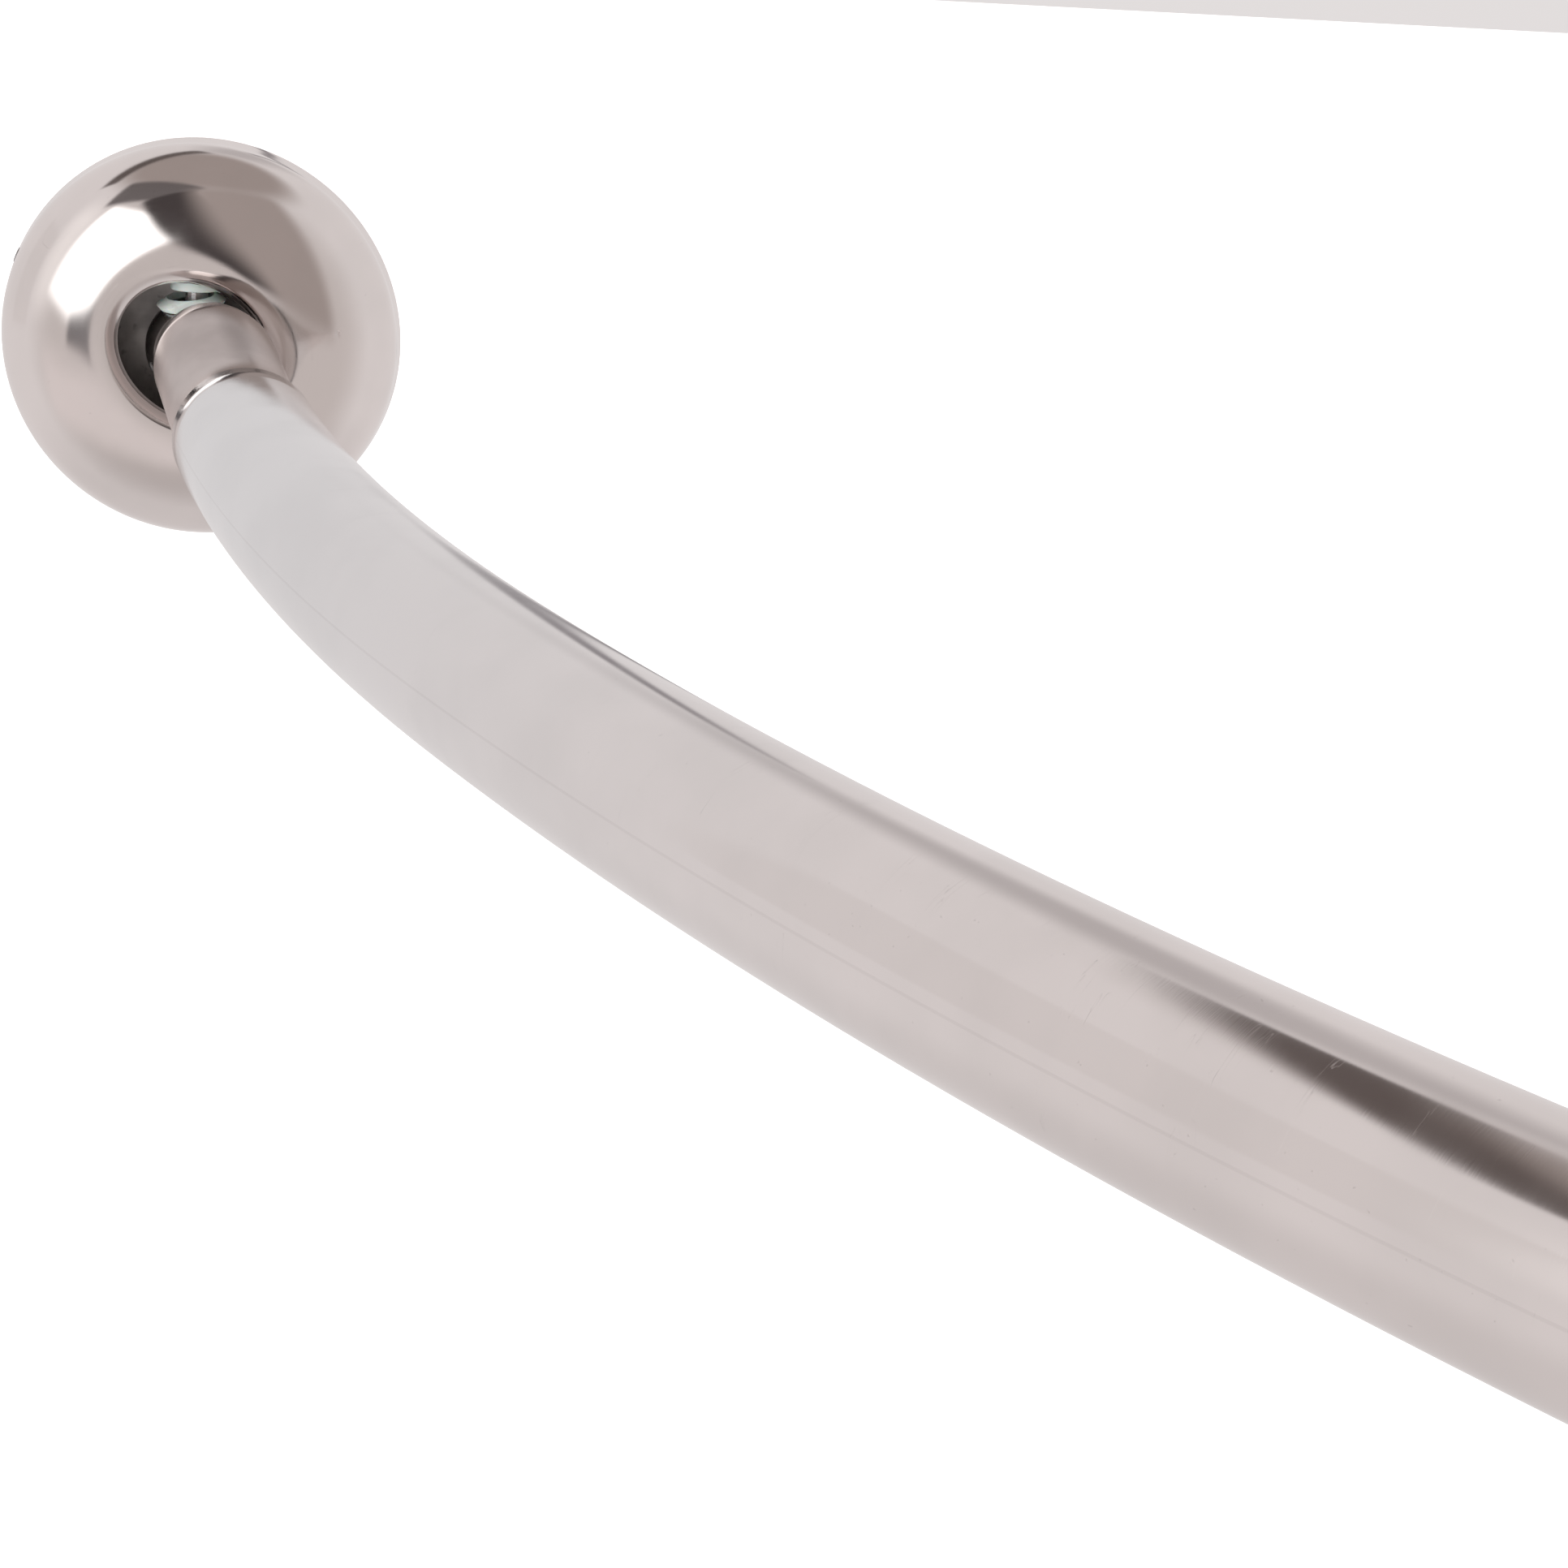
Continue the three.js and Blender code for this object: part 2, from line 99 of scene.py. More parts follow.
# Cover.
COVER_RADIUS = 39 * MM
COVER_BASE = 0.5 * MM
SKIRT_HEIGHT = 6 * MM
SKIRT_TAPER = 0.6 * MM
CREST_RADIUS = 18.1 * MM
CREST_HEIGHT = 22.3 * MM
LIP_RADIUS = 15 * MM
LIP_ROUND = 4.2 * MM
LIP_END = math.radians(140)
SHEET = 1 * MM
MOUTH_LONG = 15.1 * MM
MOUTH_SHORT = 12.7 * MM
# How fast the mouth's oblong shape fades into the round skirt: 1 is evenly.
MOUTH_FADE = 1.5
COVER_TURN = {"left": math.radians(-31), "right": math.radians(31)}
GRUB_ANGLES = (math.radians(188), math.radians(233))
GRUB_HEIGHT = 3.2 * MM
GRUB_HOLE = 1.8 * MM


# ---------------------------------------------------------------- Mesh helpers

def make_object(name, verts, faces):
    mesh = bpy.data.meshes.new(name)
    mesh.from_pydata(verts, [], faces)
    mesh.validate()
    bm = bmesh.new()
    bm.from_mesh(mesh)
    bmesh.ops.remove_doubles(bm, verts=bm.verts, dist=SAME_PLACE)
    bmesh.ops.recalc_face_normals(bm, faces=bm.faces)
    bm.to_mesh(mesh)
    bm.free()
    mesh.shade_smooth()
    mesh.set_sharp_from_angle(angle=SHARP_ANGLE)
    obj = bpy.data.objects.new(name, mesh)
    bpy.context.scene.collection.objects.link(obj)
    return obj


def lathe(name, outline, sides, axis="Z", shape=None):
    """A solid of revolution from [radius, height] points, which ends on the axis or closes on itself.

    shape(radius, angle) gives the radius to use at each angle, where the piece isn't round.
    """
    closed = outline[0][0] > SAME_PLACE
    verts, faces = [], []
    for i in range(sides):
        angle = 2 * math.pi * i / sides
        for radius, height in outline:
            r = shape(radius, angle) if shape else radius
            c, s = r * math.cos(angle), r * math.sin(angle)
            verts.append((height, c, s) if axis == "X" else (c, s, height))
    count = len(outline)
    for i in range(sides):
        a, b = i * count, ((i + 1) % sides) * count
        for k in range(count if closed else count - 1):
            k2 = (k + 1) % count
            faces.append((a + k, b + k, b + k2, a + k2))
    return make_object(name, verts, faces)


def arc(centre, semi, start, end, count):
    return [
        (centre[0] + semi[0] * math.cos(start + (end - start) * i / count),
         centre[1] + semi[1] * math.sin(start + (end - start) * i / count))
        for i in range(count + 1)
    ]


def spline(points, count):
    """Points on a smooth curve through the given ones."""
    result = []
    for i in range(len(points) - 1):
        p0 = points[max(i - 1, 0)]
        p1, p2 = points[i], points[i + 1]
        p3 = points[min(i + 2, len(points) - 1)]
        for k in range(count):
            t = k / count
            result.append(tuple(
                b + 0.5 * t * ((c - a) + t * (2 * a - 5 * b + 4 * c - d + t * (3 * b - 3 * c + d - a)))
                for a, b, c, d in zip(p0, p1, p2, p3)
            ))
    result.append(points[-1])
    return result


def apply_modifiers(obj):
    depsgraph = bpy.context.evaluated_depsgraph_get()
    mesh = bpy.data.meshes.new_from_object(obj.evaluated_get(depsgraph))
    obj.modifiers.clear()
    obj.data = mesh


def combine(obj, operation, *others):
    """Cuts the other objects from this one, or joins them to it, and removes them."""
    for other in others:
        modifier = obj.modifiers.new(operation, "BOOLEAN")
        modifier.operation = operation
        modifier.solver = "EXACT"
        modifier.object = other
    bpy.context.view_layer.update()
    apply_modifiers(obj)
    obj.data.set_sharp_from_angle(angle=SHARP_ANGLE)
    for other in others:
        bpy.data.objects.remove(other)
    return obj


def cut(obj, *tools):
    return combine(obj, "DIFFERENCE", *tools)


def put(obj, matrix):
    obj.data.transform(matrix)
    obj.data.update()
    return obj


# ---------------------------------------------------------------- Places

_low, _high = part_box("right_wall_plate")
RIGHT_WALL = Vector(((_low[0] + _high[0]) / 2, _high[1], 0))


def about_z(angle):
    return Matrix.Rotation(angle, 4, "Z")


def direction(azimuth, elevation):
    """The unit vector at an azimuth from +X towards +Y and an elevation, both in degrees."""
    azimuth, elevation = math.radians(azimuth), math.radians(elevation)
    return Vector((
        math.cos(elevation) * math.cos(azimuth),
        math.cos(elevation) * math.sin(azimuth),
        math.sin(elevation),
    ))


FLANGE = {"left": Matrix(), "right": Matrix.Translation(RIGHT_WALL) @ about_z(-math.pi / 2)}
END_HEADING = {
    "left": REST_SWIVEL,
    "right": REST_SWIVEL + math.radians(sum(angle for _, angle in ARCS)) + math.pi,
}
PIVOT = {side: FLANGE[side] @ Vector((PIVOT_HEIGHT, 0, 0)) for side in SIDES}
TILT = Matrix.Rotation(BOW_TILT, 4, PIVOT["right"] - PIVOT["left"])
ROD_END = {side: Matrix.Translation(PIVOT[side]) @ TILT @ about_z(END_HEADING[side]) for side in SIDES}
CAP = {side: FLANGE[side] @ Matrix.Rotation(COVER_TURN[side], 4, "X") for side in SIDES}


def axis_point(length):
    """Place and heading on the tube's axis in its own frame, which starts along +X and bends to +Y."""
    x = y = heading = 0.0
    for radius_mm, degrees in ARCS:
        radius = radius_mm * MM
        turn = min(length / radius, math.radians(degrees))
        x += radius * (math.sin(heading + turn) - math.sin(heading))
        y += radius * (math.cos(heading) - math.cos(heading + turn))
        heading += turn
        length -= turn * radius
    return x, y, heading


TUBE_LENGTH = sum(radius * MM * math.radians(degrees) for radius, degrees in ARCS)


# ---------------------------------------------------------------- Pieces

def make_tube(name, steps=240, sides=96):
    """Rings along the outside of the tube, round its far end and back along the inside."""
    verts, faces, grain = [], [], []
    inner = TUBE_RADIUS - TUBE_WALL
    soft = 0.15 * MM
    rounding = [(0.0, TUBE_RADIUS - soft), (soft * 0.3, TUBE_RADIUS - soft * 0.3), (soft, TUBE_RADIUS)]
    rim = [(0.0, inner)] + rounding
    rings = list(rim)
    for i in range(1, steps):
        rings.append((TUBE_LENGTH * i / steps, TUBE_RADIUS))
    rings += [(TUBE_LENGTH - at, radius) for at, radius in reversed(rim)]
    for i in range(1, steps):
        rings.append((TUBE_LENGTH * (steps - i) / steps, inner))
    for at, radius in rings:
        x, y, heading = axis_point(at)
        for k in range(sides):
            angle = 2 * math.pi * k / sides
            across, up = radius * math.cos(angle), radius * math.sin(angle)
            verts.append((x - across * math.sin(heading), y + across * math.cos(heading), up))
            grain += [math.cos(angle), math.sin(angle), at / MM]
    count = len(rings)
    for i in range(count):
        a, b = i * sides, ((i + 1) % count) * sides
        for k in range(sides):
            k2 = (k + 1) % sides
            faces.append((a + k, a + k2, b + k2, b + k))
    obj = make_object(name, verts, faces)
    assert len(obj.data.vertices) * 3 == len(grain)
    obj.data.attributes.new("grain", "FLOAT_VECTOR", "POINT").data.foreach_set("vector", grain)
    return put(obj, ROD_END["left"] @ Matrix.Translation((PIVOT_TO_TUBE, 0, 0)))


def mouth_radius(angle):
    return 1 / math.hypot(math.cos(angle) / MOUTH_LONG, math.sin(angle) / MOUTH_SHORT)


def oblong(radius, angle):
    skirt = COVER_RADIUS - SKIRT_TAPER
    fade = min(max((skirt - radius) / (skirt - CREST_RADIUS), 0), 1)
    return radius + (mouth_radius(angle) - LIP_RADIUS) * fade ** MOUTH_FADE


def make_cover(name):
    skirt_top = COVER_RADIUS - SKIRT_TAPER
    dome = (skirt_top - CREST_RADIUS, CREST_HEIGHT - SKIRT_HEIGHT)
    lip = ((LIP_RADIUS - CREST_RADIUS) / math.cos(LIP_END), LIP_ROUND)
    dome_centre = (CREST_RADIUS, SKIRT_HEIGHT)
    lip_centre = (CREST_RADIUS, CREST_HEIGHT - LIP_ROUND)
    inner_dome = (dome[0] - SHEET, dome[1] - SHEET)
    inner_lip = (lip[0] - SHEET, lip[1] - SHEET)
    quarter = math.pi / 2
    soft = 0.25 * MM
    skirt_height = SKIRT_HEIGHT - COVER_BASE
    skirt = [(COVER_RADIUS - SKIRT_TAPER * k / 6, COVER_BASE + skirt_height * k / 6) for k in range(1, 6)]
    outline = (
        [(COVER_RADIUS - soft, COVER_BASE), (COVER_RADIUS, COVER_BASE + soft)]
        + skirt
        + arc(dome_centre, dome, 0, quarter, 44)
        + arc(lip_centre, lip, quarter, LIP_END, 18)[1:]
        + arc(lip_centre, inner_lip, LIP_END, quarter, 12)
        + arc(dome_centre, inner_dome, quarter, 0, 24)[1:]
        + [(COVER_RADIUS - SHEET, COVER_BASE)]
    )
    cover = lathe(name, outline, 144, axis="X", shape=oblong)
    drills = []
    reach = 3 * MM
    radius = COVER_RADIUS - SHEET / 2
    for angle in GRUB_ANGLES:
        drill = lathe("drill", [(0, -reach), (GRUB_HOLE, -reach), (GRUB_HOLE, reach), (0, reach)], 32)
        outwards = Vector((0, math.cos(angle), math.sin(angle)))
        turn = Vector((0, 0, 1)).rotation_difference(outwards).to_matrix().to_4x4()
        put(drill, Matrix.Translation(Vector((GRUB_HEIGHT, 0, 0)) + outwards * radius) @ turn)
        drills.append(drill)
    return cut(cover, *drills)


def smooth_step(limits, value):
    t = min(max((value - limits[0]) / (limits[1] - limits[0]), 0), 1)
    return t * t * (3 - 2 * t)


def cranked(obj):
    """Bends a piece that runs along +X upwards and back again."""
    for vertex in obj.data.vertices:
        x = vertex.co.x
        vertex.co.z += CRANK * smooth_step(CRANK_RISE, x) * (1 - smooth_step(CRANK_FALL, x))
    obj.data.update()
    return obj


def stations(radius, start, end, count):
    """Outline points along a plain stretch, close enough together for it to be bent."""
    return [(radius, start + (end - start) * i / count) for i in range(count + 1)]


def make_plug(name):
    end = PIVOT_TO_TUBE + SPIGOT_DEPTH
    chamfer = 1 * MM
    nose = [(radius * MM, along * MM) for along, radius in NOSE]
    outline = (
        [(0, SOCKET_DEPTH)]
        + stations(NECK_RADIUS + SOCKET_GAP, SOCKET_DEPTH, nose[0][1], 12)
        + spline(nose, 10)
        + stations(SPIGOT_RADIUS, nose[-1][1], end - chamfer, 40)[1:]
        + [(SPIGOT_RADIUS - chamfer, end), (0, end)]
    )
    return cranked(lathe(name, outline, 96, axis="X"))


def block_beyond(start):
    """A block that takes away all of a small piece beyond x = start."""
    size = 40 * MM
    bpy.ops.mesh.primitive_cube_add(size=size)
    return put(bpy.context.object, Matrix.Translation((start + size / 2, 0, 0)))


def make_ball(name):
    start = math.asin(BALL_TOP / BALL_RADIUS)
    outline = (
        [(BALL_BORE, -BALL_TOP)]
        + arc((0, 0), (BALL_RADIUS, BALL_RADIUS), -start, start, 40)
        + [(BALL_BORE, BALL_TOP)]
    )
    ball = lathe(name, outline, 96)
    cut(ball, block_beyond(BALL_FLAT))
    root = BALL_FLAT - 1 * MM
    neck_outline = [(0, root)] + stations(NECK_RADIUS, root, NECK_END, 16) + [(0, NECK_END)]
    neck = cranked(lathe("neck", neck_outline, 64, axis="X"))
    return combine(ball, "UNION", neck)


def make_flat_washer(name):
    soft = 0.3 * MM
    bore, radius, bottom, top = (WASHER[key] for key in ("bore", "radius", "bottom", "top"))
    outline = (
        [(bore, bottom)]
        + arc((radius - soft, bottom + soft), (soft, soft), -math.pi / 2, 0, 5)
        + arc((radius - soft, top - soft), (soft, soft), 0, math.pi / 2, 5)
        + [(bore, top)]
    )
    return lathe(name, outline, 72)


def make_seat_washer(name):
    start = math.pi / 2 - math.asin(SEAT_BORE / SEAT_OUTER)
    start_inner = math.pi / 2 - math.asin(SEAT_BORE / SEAT_INNER)
    end = math.pi / 2 - SEAT_SPREAD
    outline = (
        arc((0, 0), (SEAT_INNER, SEAT_INNER), start_inner, end, 12)
        + arc((0, 0), (SEAT_OUTER, SEAT_OUTER), end, start, 12)
    )
    return cut(lathe(name, outline, 72), block_beyond(SEAT_FLAT))


# ---------------------------------------------------------------- Materials

def new_material(name):
    material = bpy.data.materials.new(name)
    material.use_nodes = True
    return material, material.node_tree, material.node_tree.nodes["Principled BSDF"]


def math_node(tree, operation, a, b=None):
    node = tree.nodes.new("ShaderNodeMath")
    node.operation = operation
    for socket, value in zip(node.inputs, (a, b)):
        if value is None:
            continue
        if isinstance(value, bpy.types.NodeSocket):
            tree.links.new(value, socket)
        else:
            socket.default_value = value
    return node.outputs[0]


def plus(tree, a, b):
    return math_node(tree, "ADD", a, b)


def minus(tree, a, b):
    return math_node(tree, "SUBTRACT", a, b)


def times(tree, a, b):
    return math_node(tree, "MULTIPLY", a, b)


def distance(tree, a, b):
    return math_node(tree, "ABSOLUTE", minus(tree, a, b))


def ramp(tree, value, start, end, low=0.0, high=1.0):
    """A smooth step: low up to start and high from end on. The start may lie beyond the end."""
    node = tree.nodes.new("ShaderNodeMapRange")
    node.interpolation_type = "SMOOTHSTEP"
    tree.links.new(value, node.inputs["Value"])
    node.inputs["From Min"].default_value = start
    node.inputs["From Max"].default_value = end
    node.inputs["To Min"].default_value = low
    node.inputs["To Max"].default_value = high
    return node.outputs["Result"]


def parts_of(tree, vector):
    split = tree.nodes.new("ShaderNodeSeparateXYZ")
    tree.links.new(vector, split.inputs[0])
    return split.outputs


# Where a colour mix node keeps its two colours and its result.
MIX_A, MIX_B, MIX_RESULT = 6, 7, 2


def mix(tree, factor, a, b):
    """Colour a where the factor is 0 and colour b where it is 1."""
    node = tree.nodes.new("ShaderNodeMix")
    node.data_type = "RGBA"
    tree.links.new(factor, node.inputs["Factor"])
    for socket, color in ((node.inputs[MIX_A], a), (node.inputs[MIX_B], b)):
        if isinstance(color, bpy.types.NodeSocket):
            tree.links.new(color, socket)
        else:
            socket.default_value = (*color, 1)
    return node.outputs[MIX_RESULT]


def noise(tree, coordinates, scale, detail=3.0, stretch=(1, 1, 1)):
    """Noise over some coordinates, finer along the axes that are stretched."""
    scaling = tree.nodes.new("ShaderNodeVectorMath")
    scaling.operation = "MULTIPLY"
    tree.links.new(coordinates, scaling.inputs[0])
    scaling.inputs[1].default_value = stretch
    node = tree.nodes.new("ShaderNodeTexNoise")
    tree.links.new(scaling.outputs[0], node.inputs["Vector"])
    node.inputs["Scale"].default_value = scale
    node.inputs["Detail"].default_value = detail
    return node.outputs["Fac"]


def grain_of(tree):
    """The coordinates that set_grain() and make_tube() store, which follow how a piece was made."""
    node = tree.nodes.new("ShaderNodeAttribute")
    node.attribute_name = "grain"
    return node.outputs["Vector"]


def place_of(tree):
    """Coordinates in metres, fixed to the piece."""
    return tree.nodes.new("ShaderNodeTexCoord").outputs["Object"]


def bump(tree, shader, height, depth):
    node = tree.nodes.new("ShaderNodeBump")
    tree.links.new(height, node.inputs["Height"])
    node.inputs["Distance"].default_value = depth
    node.inputs["Strength"].default_value = 1.0
    tree.links.new(node.outputs["Normal"], shader.inputs["Normal"])


def scratches(tree, coordinates, scale):
    """Thin, sparse lines where a stretched noise crosses its middle value."""
    off_middle = distance(tree, noise(tree, coordinates, scale, 1.0), 0.5)
    line = ramp(tree, off_middle, 0.0, 0.0035, 1.0, 0.0)
    patch = ramp(tree, noise(tree, coordinates, scale * 0.4, 2.0), 0.58, 0.66)
    return times(tree, line, patch)


NICKEL = {"light": (0.845, 0.795, 0.78), "dark": (0.805, 0.76, 0.745), "rough": 0.05}
COOL_NICKEL = {"light": (0.82, 0.835, 0.85), "dark": (0.79, 0.805, 0.82)}
# The plug's nickel is rougher than the rest, and its colour is painted darker as painted shade for the
# dark reflections on the plug.
PLUG_TONE_PAINTED_SHADE = {"light": (0.60, 0.545, 0.525), "dark": (0.48, 0.43, 0.415), "rough": 0.13}
NICKEL_MARK = (0.45, 0.41, 0.40)
# The colour of the painted reflection: a dark streak along the tube.
PAINTED_STREAK_COLOR = (0.35, 0.32, 0.31)
SMEAR_ROUGHNESS = 0.07
POLISH_DEPTH = 0.0012 * MM


def smeared(tree, smear, tone):
    return mix(tree, ramp(tree, smear, 0.35, 0.7), tone["light"], tone["dark"])


def painted_streak_line(tree, grain):
    """1 along the dark streak painted on the tube as a painted reflection, and 0 elsewhere."""
    across, up, _ = parts_of(tree, grain)
    off = distance(tree, math_node(tree, "ARCTAN2", up, across), PAINTED_STREAK_ANGLE)
    return ramp(tree, off, PAINTED_STREAK_HALF_WIDTH * 0.4, PAINTED_STREAK_HALF_WIDTH, 1.0, 0.0)


def near_tube_end(tree, grain):
    """1 at either end of the tube, down to 0 at COOL_LENGTH from it."""
    half_length = TUBE_LENGTH / 2 / MM
    from_middle = distance(tree, parts_of(tree, grain)["Z"], half_length)
    return ramp(tree, from_middle, half_length - COOL_LENGTH, half_length)


def nickel_material(name, tone, painted_streak=False):
    """Polished plating: fine marks round the piece, faint smears and hairline scratches."""
    material, tree, shader = new_material(name)
    grain, place = grain_of(tree), place_of(tree)
    shader.inputs["Metallic"].default_value = 1.0
    smear = noise(tree, place, 55, 4.0)
    fine = noise(tree, grain, 1.0, 2.0, (2.2, 2.2, 9.0))
    pits = ramp(tree, noise(tree, place, 1500, 1.0), 0.76, 0.80)
    scuffs = scratches(tree, grain, 1.4)
    marks = math_node(tree, "MAXIMUM", pits, scuffs)
    tint = mix(tree, times(tree, marks, 0.22), smeared(tree, smear, tone), NICKEL_MARK)
    rough = ramp(tree, smear, 0.3, 0.75, tone["rough"], tone["rough"] + SMEAR_ROUGHNESS)
    rough = plus(tree, rough, times(tree, fine, 0.04))
    rough = plus(tree, rough, times(tree, scuffs, 0.12))
    height = minus(tree, fine, times(tree, scuffs, 1.5))
    if painted_streak:
        tint = mix(tree, near_tube_end(tree, grain), tint, smeared(tree, smear, COOL_NICKEL))
        # Painted reflection: a thin darker line along the tube, which also has a shallow groove in the
        # bump.
        line = painted_streak_line(tree, grain)
        tint = mix(tree, times(tree, line, 0.10), tint, PAINTED_STREAK_COLOR)
        height = minus(tree, height, times(tree, line, 2.0))
    tree.links.new(tint, shader.inputs["Base Color"])
    tree.links.new(rough, shader.inputs["Roughness"])
    bump(tree, shader, height, POLISH_DEPTH)
    return material


def steel_material(name, dark, light, rough, scale):
    """Plain steel: brushed or rolled marks, a mottled tone and a few dull spots."""
    material, tree, shader = new_material(name)
    place = place_of(tree)
    shader.inputs["Metallic"].default_value = 1.0
    brushed = noise(tree, place, scale, 3.0, (1, 1, 6))
    mottle = noise(tree, place, 130, 5.0)
    spots = ramp(tree, noise(tree, place, 420, 2.0), 0.66, 0.74)
    tint = mix(tree, ramp(tree, mottle, 0.35, 0.68), light, dark)
    tint = mix(tree, times(tree, spots, 0.5), tint, tuple(value * 0.5 for value in dark))
    tree.links.new(tint, shader.inputs["Base Color"])
    worn = ramp(tree, mottle, 0.3, 0.7, rough, rough + 0.14)
    tree.links.new(plus(tree, worn, times(tree, brushed, 0.08)), shader.inputs["Roughness"])
    bump(tree, shader, brushed, 0.01 * MM)
    return material


def nylon_material(name):
    """Translucent moulded nylon, faintly greened, with a fine mould texture and handling marks."""
    material, tree, shader = new_material(name)
    place = place_of(tree)
    cloud = noise(tree, place, 240, 3.0)
    marks = ramp(tree, noise(tree, place, 700, 2.0), 0.62, 0.72)
    tint = mix(tree, ramp(tree, cloud, 0.3, 0.7), (0.80, 0.88, 0.84), (0.72, 0.81, 0.77))
    tint = mix(tree, times(tree, marks, 0.3), tint, (0.50, 0.53, 0.50))
    tree.links.new(tint, shader.inputs["Base Color"])
    tree.links.new(ramp(tree, cloud, 0.3, 0.7, 0.32, 0.46), shader.inputs["Roughness"])
    shader.inputs["Subsurface Weight"].default_value = 0.25
    shader.inputs["Subsurface Scale"].default_value = 1.0 * MM
    bump(tree, shader, noise(tree, place, 1800, 2.0), 0.01 * MM)
    return material


nickel = nickel_material("polished_nickel", NICKEL)
tube_nickel = nickel_material("polished_nickel_tube", NICKEL, painted_streak=True)
# The plug's nickel, with painted shade in its darker colour.
plug_metal_painted_shade = nickel_material("nickel_plug_with_painted_shade", PLUG_TONE_PAINTED_SHADE)
ball_steel = steel_material("ball_steel", (0.24, 0.225, 0.22), (0.42, 0.40, 0.39), 0.16, 500)
plate_steel = steel_material("plate_steel", (0.45, 0.44, 0.435), (0.60, 0.59, 0.58), 0.30, 700)
fastener_steel = steel_material("fastener_zinc", (0.52, 0.52, 0.53), (0.68, 0.68, 0.69), 0.22, 1200)
nylon = nylon_material("nylon")


# ---------------------------------------------------------------- Assembly

def set_grain(obj, axis):
    """Stores each point's direction round the axis, and its radius and length along it in millimetres."""
    values = []
    for vertex in obj.data.vertices:
        x, y, z = vertex.co
        across, up, length = (y, z, x) if axis == "X" else (x, y, z)
        radius = max(math.hypot(across, up), ON_AXIS)
        values += [across / radius, up / radius, (radius + length) / MM]
    grain = obj.data.attributes.new("grain", "FLOAT_VECTOR", "POINT")
    grain.data.foreach_set("vector", values)


def add(obj, matrix, body, node, material, axis="X"):
    if "grain" not in obj.data.attributes:
        set_grain(obj, axis)
    put(obj, matrix)
    obj.data.materials.clear()
    obj.data.materials.append(material)
    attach(obj, body)
    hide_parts(node)


add(make_tube("rod_tube"), Matrix(), "rod", "tube", tube_nickel)
OVER = {"upper": Matrix(), "lower": Matrix.Rotation(math.pi, 4, "X")}
for side in SIDES:
    add(make_cover(f"{side}_dome"), CAP[side], f"{side}_cover", f"{side}_cover", nickel)
    add(make_plug(f"{side}_plug"), ROD_END[side], "rod", f"{side}_end_plug", plug_metal_painted_shade)
    add(make_ball(f"{side}_ball"), ROD_END[side], "rod",
        f"{side}_swivel_ball", ball_steel, "Z")
    for level, turn in OVER.items():
        stack = FLANGE[side] @ Matrix.Translation((PIVOT_HEIGHT, 0, 0)) @ turn
        add(make_flat_washer(f"{side}_{level}_flat"), stack, f"{side}_bracket",
            f"{side}_{level}_washer", nylon, "Z")
        add(make_seat_washer(f"{side}_{level}_seat"), ROD_END[side] @ turn, "rod",
            f"{side}_{level}_seat_washer", nylon, "Z")

# Steel for every CAD node: only the ones that no piece replaces are seen.
for name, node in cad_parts.items():
    fastener = any(word in name for word in ("screw", "nut"))
    for slot in node.material_slots:
        slot.material = fastener_steel if fastener else plate_steel


# ---------------------------------------------------------------- Camera

CAMERA_PLACE = Vector((0.5812, 0.0513, 0.0921))
CAMERA_FACING = direction(173.10, -17.40)
CAMERA_ROLL = math.radians(3.22)
CAMERA_LENS_MM = 65.77
CAMERA_SENSOR_MM = 36

camera_data = bpy.data.cameras.new("camera")
camera_data.lens = CAMERA_LENS_MM
camera_data.sensor_width = CAMERA_SENSOR_MM
camera = bpy.data.objects.new("camera", camera_data)
camera.matrix_world = (
    Matrix.Translation(CAMERA_PLACE)
    @ CAMERA_FACING.to_track_quat("-Z", "Y").to_matrix().to_4x4()
    @ Matrix.Rotation(CAMERA_ROLL, 4, "Z")
)
bpy.context.scene.collection.objects.link(camera)
bpy.context.scene.camera = camera


# ---------------------------------------------------------------- Studio

# The room that the metal mirrors. Each panel is a flat card seen from the object: the azimuth and
# elevation of its centre, its half width and half height as tangents, the softness of its edge, its
# roll, its colour and, where it isn't all, how far it covers what is behind it.
PANELS = [
    {"at": (-33, 18), "half": (0.44, 0.37), "soft": 0.05, "roll": -25, "color": (1.9, 1.88, 1.86)},
    {"at": (-66, 24), "half": (0.20, 0.38), "soft": 0.18, "color": (1.1, 1.06, 1.04), "cover": 0.6},
    {"at": (-36, 56), "half": (0.30, 0.16), "soft": 0.035, "color": (0.13, 0.115, 0.115), "cover": 0.95},
    {"at": (-3, 27), "half": (0.19, 0.54), "soft": 0.03, "roll": 24, "color": (0.065, 0.055, 0.055)},
    {"at": (22, 30), "half": (0.36, 0.62), "soft": 0.12, "color": (0.38, 0.33, 0.31)},
    {"at": (-34, -24), "half": (0.50, 0.20), "soft": 0.14, "color": (0.76, 0.70, 0.69), "cover": 0.85},
    {"at": (-26, -7), "half": (0.17, 0.062), "soft": 0.02, "roll": -6, "color": (0.13, 0.12, 0.125)},
    {"at": (-135, 60.5), "half": (0.42, 0.07), "soft": 0.035, "color": (0.10, 0.08, 0.075), "cover": 0.95},
    {"at": (-97, 13), "half": (0.25, 0.30), "soft": 0.02, "color": (0.68, 0.64, 0.63), "cover": 0.5},
    {"at": (174.3, 8), "half": (0.018, 0.32), "soft": 0.012, "roll": -4, "color": (0.22, 0.20, 0.21),
     "cover": 0.85},
    {"at": (173, 40), "half": (0.15, 0.24), "soft": 0.12, "color": (0.38, 0.35, 0.35), "cover": 0.6},
]
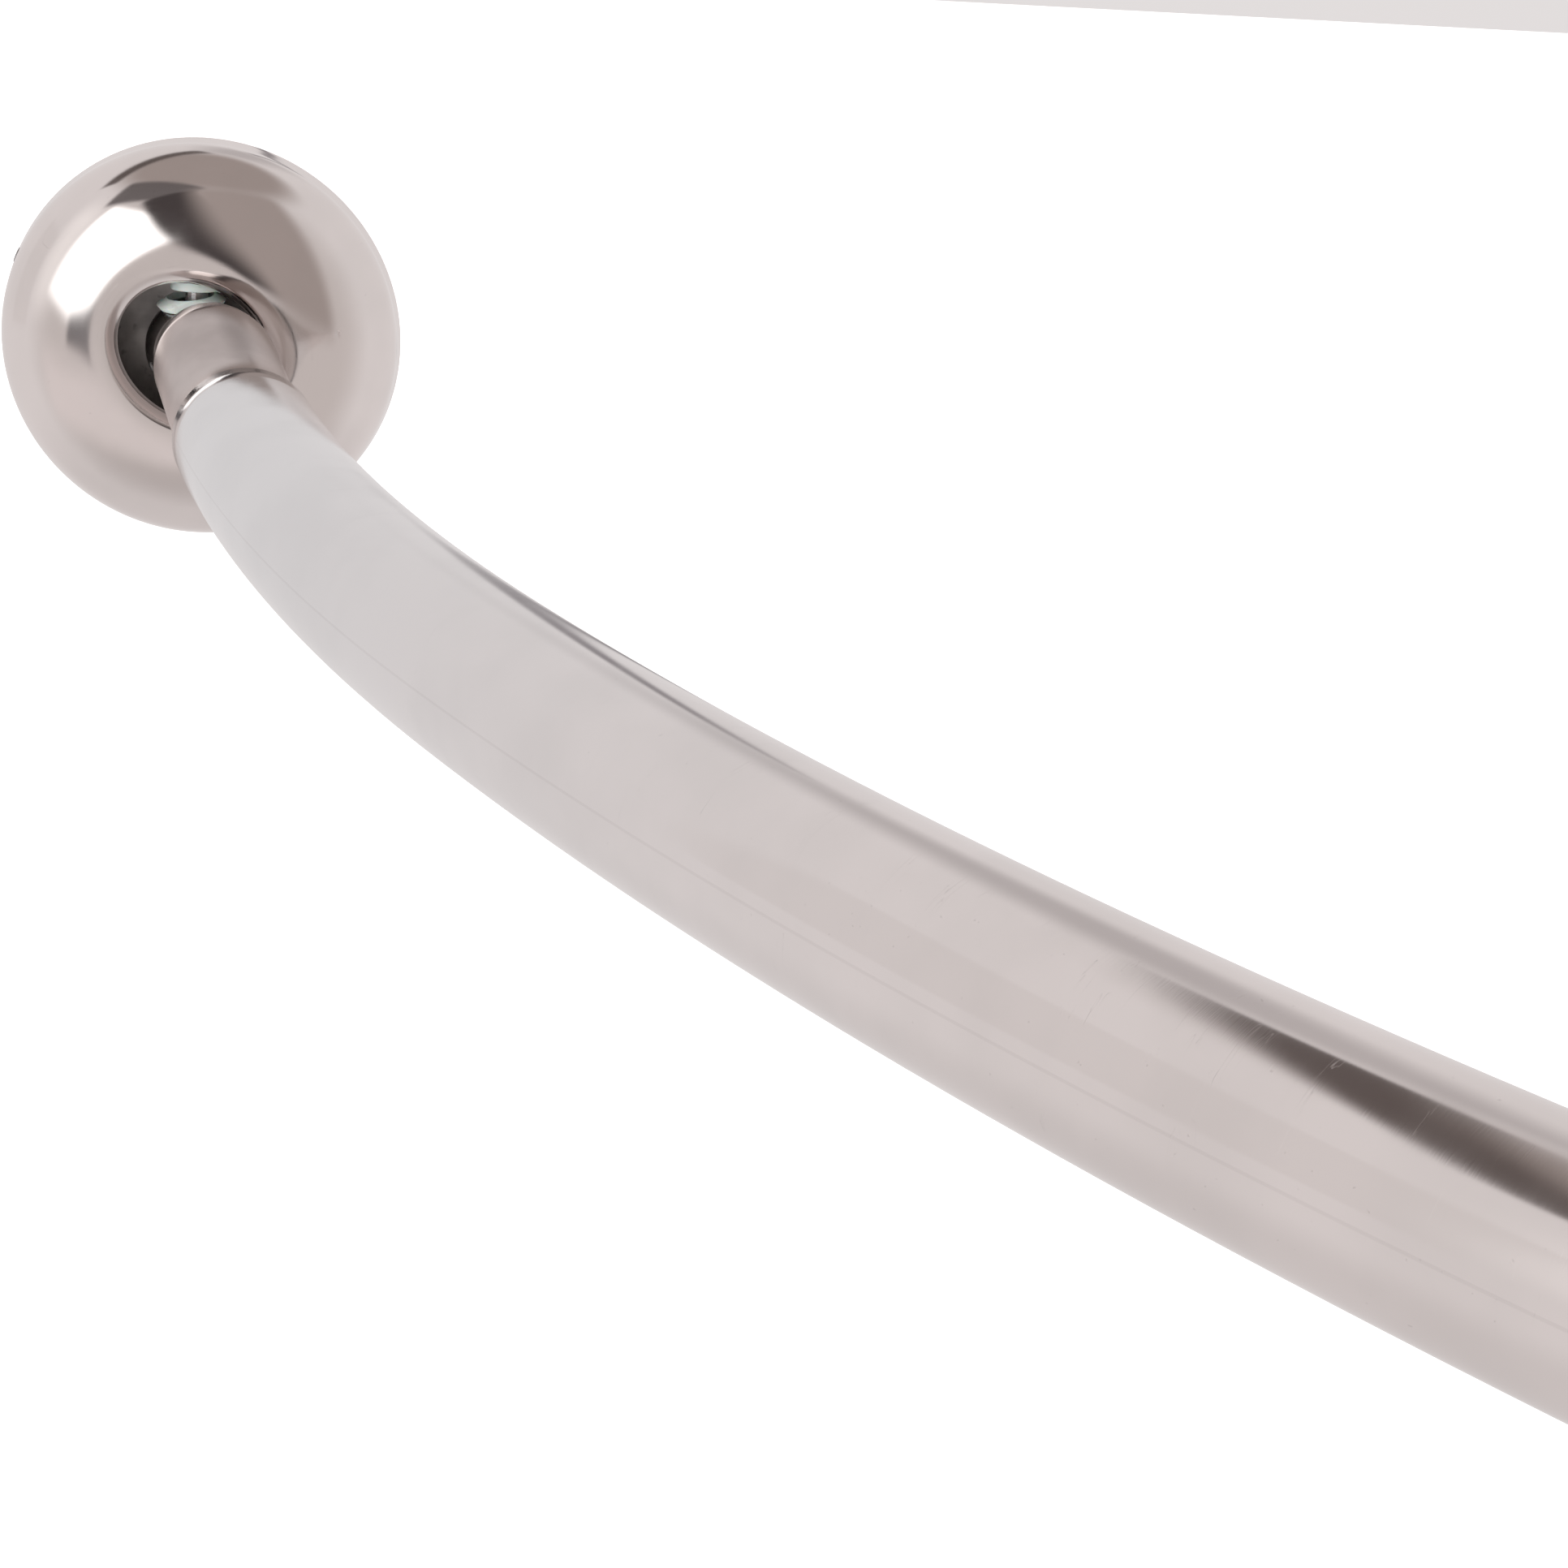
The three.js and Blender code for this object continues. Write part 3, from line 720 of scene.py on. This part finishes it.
# The room's own colours. Front is where +X points and back is the other way, with a blend between.
ROOM_FRONT = (0.60, 0.555, 0.54)
ROOM_BACK = (0.76, 0.725, 0.72)
GROUND_FRONT = (0.50, 0.46, 0.45)
GROUND_BACK = (0.68, 0.645, 0.64)
CEILING = (0.37, 0.32, 0.30)
# Where each blend of the room starts and ends, on the X or Z of a direction's unit vector.
BACK_BLEND = (0.75, 0.10)
GROUND_BLEND = (-0.45, -0.85)
CEILING_BLEND = (0.78, 0.92)
# A card fades out towards a right angle from its centre, where its tangents would have no end.
EDGE_ON = (0.0, 0.05)
LEAST_DEPTH = 0.01

# A white floor far below, and a lamp. The metal mirrors neither.
FLOOR_SIZE = 30
FLOOR_HEIGHT = -0.45
FLOOR_COLOR = (0.97, 0.97, 0.97, 1)
FLOOR_ROUGHNESS = 0.9
LAMP_STRENGTH = 3.0
LAMP_ANGLE = math.radians(60)


def along(tree, view, vector):
    node = tree.nodes.new("ShaderNodeVectorMath")
    node.operation = "DOT_PRODUCT"
    tree.links.new(view, node.inputs[0])
    node.inputs[1].default_value = vector
    return node.outputs["Value"]


def panel_mask(tree, view, panel):
    facing = direction(*panel["at"])
    upright = (Vector((0, 0, 1)) - facing * facing.z).normalized()
    upright.rotate(Matrix.Rotation(math.radians(panel.get("roll", 0)), 3, facing))
    sideways = facing.cross(upright)
    depth = along(tree, view, facing)
    mask = ramp(tree, depth, *EDGE_ON)
    safe = math_node(tree, "MAXIMUM", depth, LEAST_DEPTH)
    for axis, half in ((sideways, panel["half"][0]), (upright, panel["half"][1])):
        across = math_node(tree, "DIVIDE", along(tree, view, axis), safe)
        offset = math_node(tree, "ABSOLUTE", across)
        edge = ramp(tree, offset, half - panel["soft"], half + panel["soft"], 1.0, 0.0)
        mask = times(tree, mask, edge)
    return times(tree, mask, panel.get("cover", 1.0))


def make_room():
    world = bpy.data.worlds.new("studio")
    bpy.context.scene.world = world
    world.use_nodes = True
    tree = world.node_tree
    view = tree.nodes.new("ShaderNodeTexCoord").outputs["Generated"]
    front, _, up = parts_of(tree, view)
    behind = ramp(tree, front, *BACK_BLEND)
    ground = mix(tree, behind, GROUND_FRONT, GROUND_BACK)
    color = mix(tree, behind, ROOM_FRONT, ROOM_BACK)
    color = mix(tree, ramp(tree, up, *GROUND_BLEND), color, ground)
    color = mix(tree, ramp(tree, up, *CEILING_BLEND), color, CEILING)
    for panel in PANELS:
        color = mix(tree, panel_mask(tree, view, panel), color, panel["color"])
    tree.links.new(color, tree.nodes["Background"].inputs["Color"])


make_room()

bpy.ops.mesh.primitive_plane_add(size=FLOOR_SIZE, location=(0, 0, FLOOR_HEIGHT))
floor = bpy.context.object
floor.name = "floor"
floor_material, _, floor_shader = new_material("floor")
floor_shader.inputs["Base Color"].default_value = FLOOR_COLOR
floor_shader.inputs["Roughness"].default_value = FLOOR_ROUGHNESS
floor.data.materials.append(floor_material)
floor.visible_glossy = False

lamp_data = bpy.data.lights.new("floor_light", "SUN")
lamp_data.energy = LAMP_STRENGTH
lamp_data.angle = LAMP_ANGLE
lamp = bpy.data.objects.new("floor_light", lamp_data)
lamp.visible_glossy = False
bpy.context.scene.collection.objects.link(lamp)

bpy.context.scene.view_settings.view_transform = "Standard"
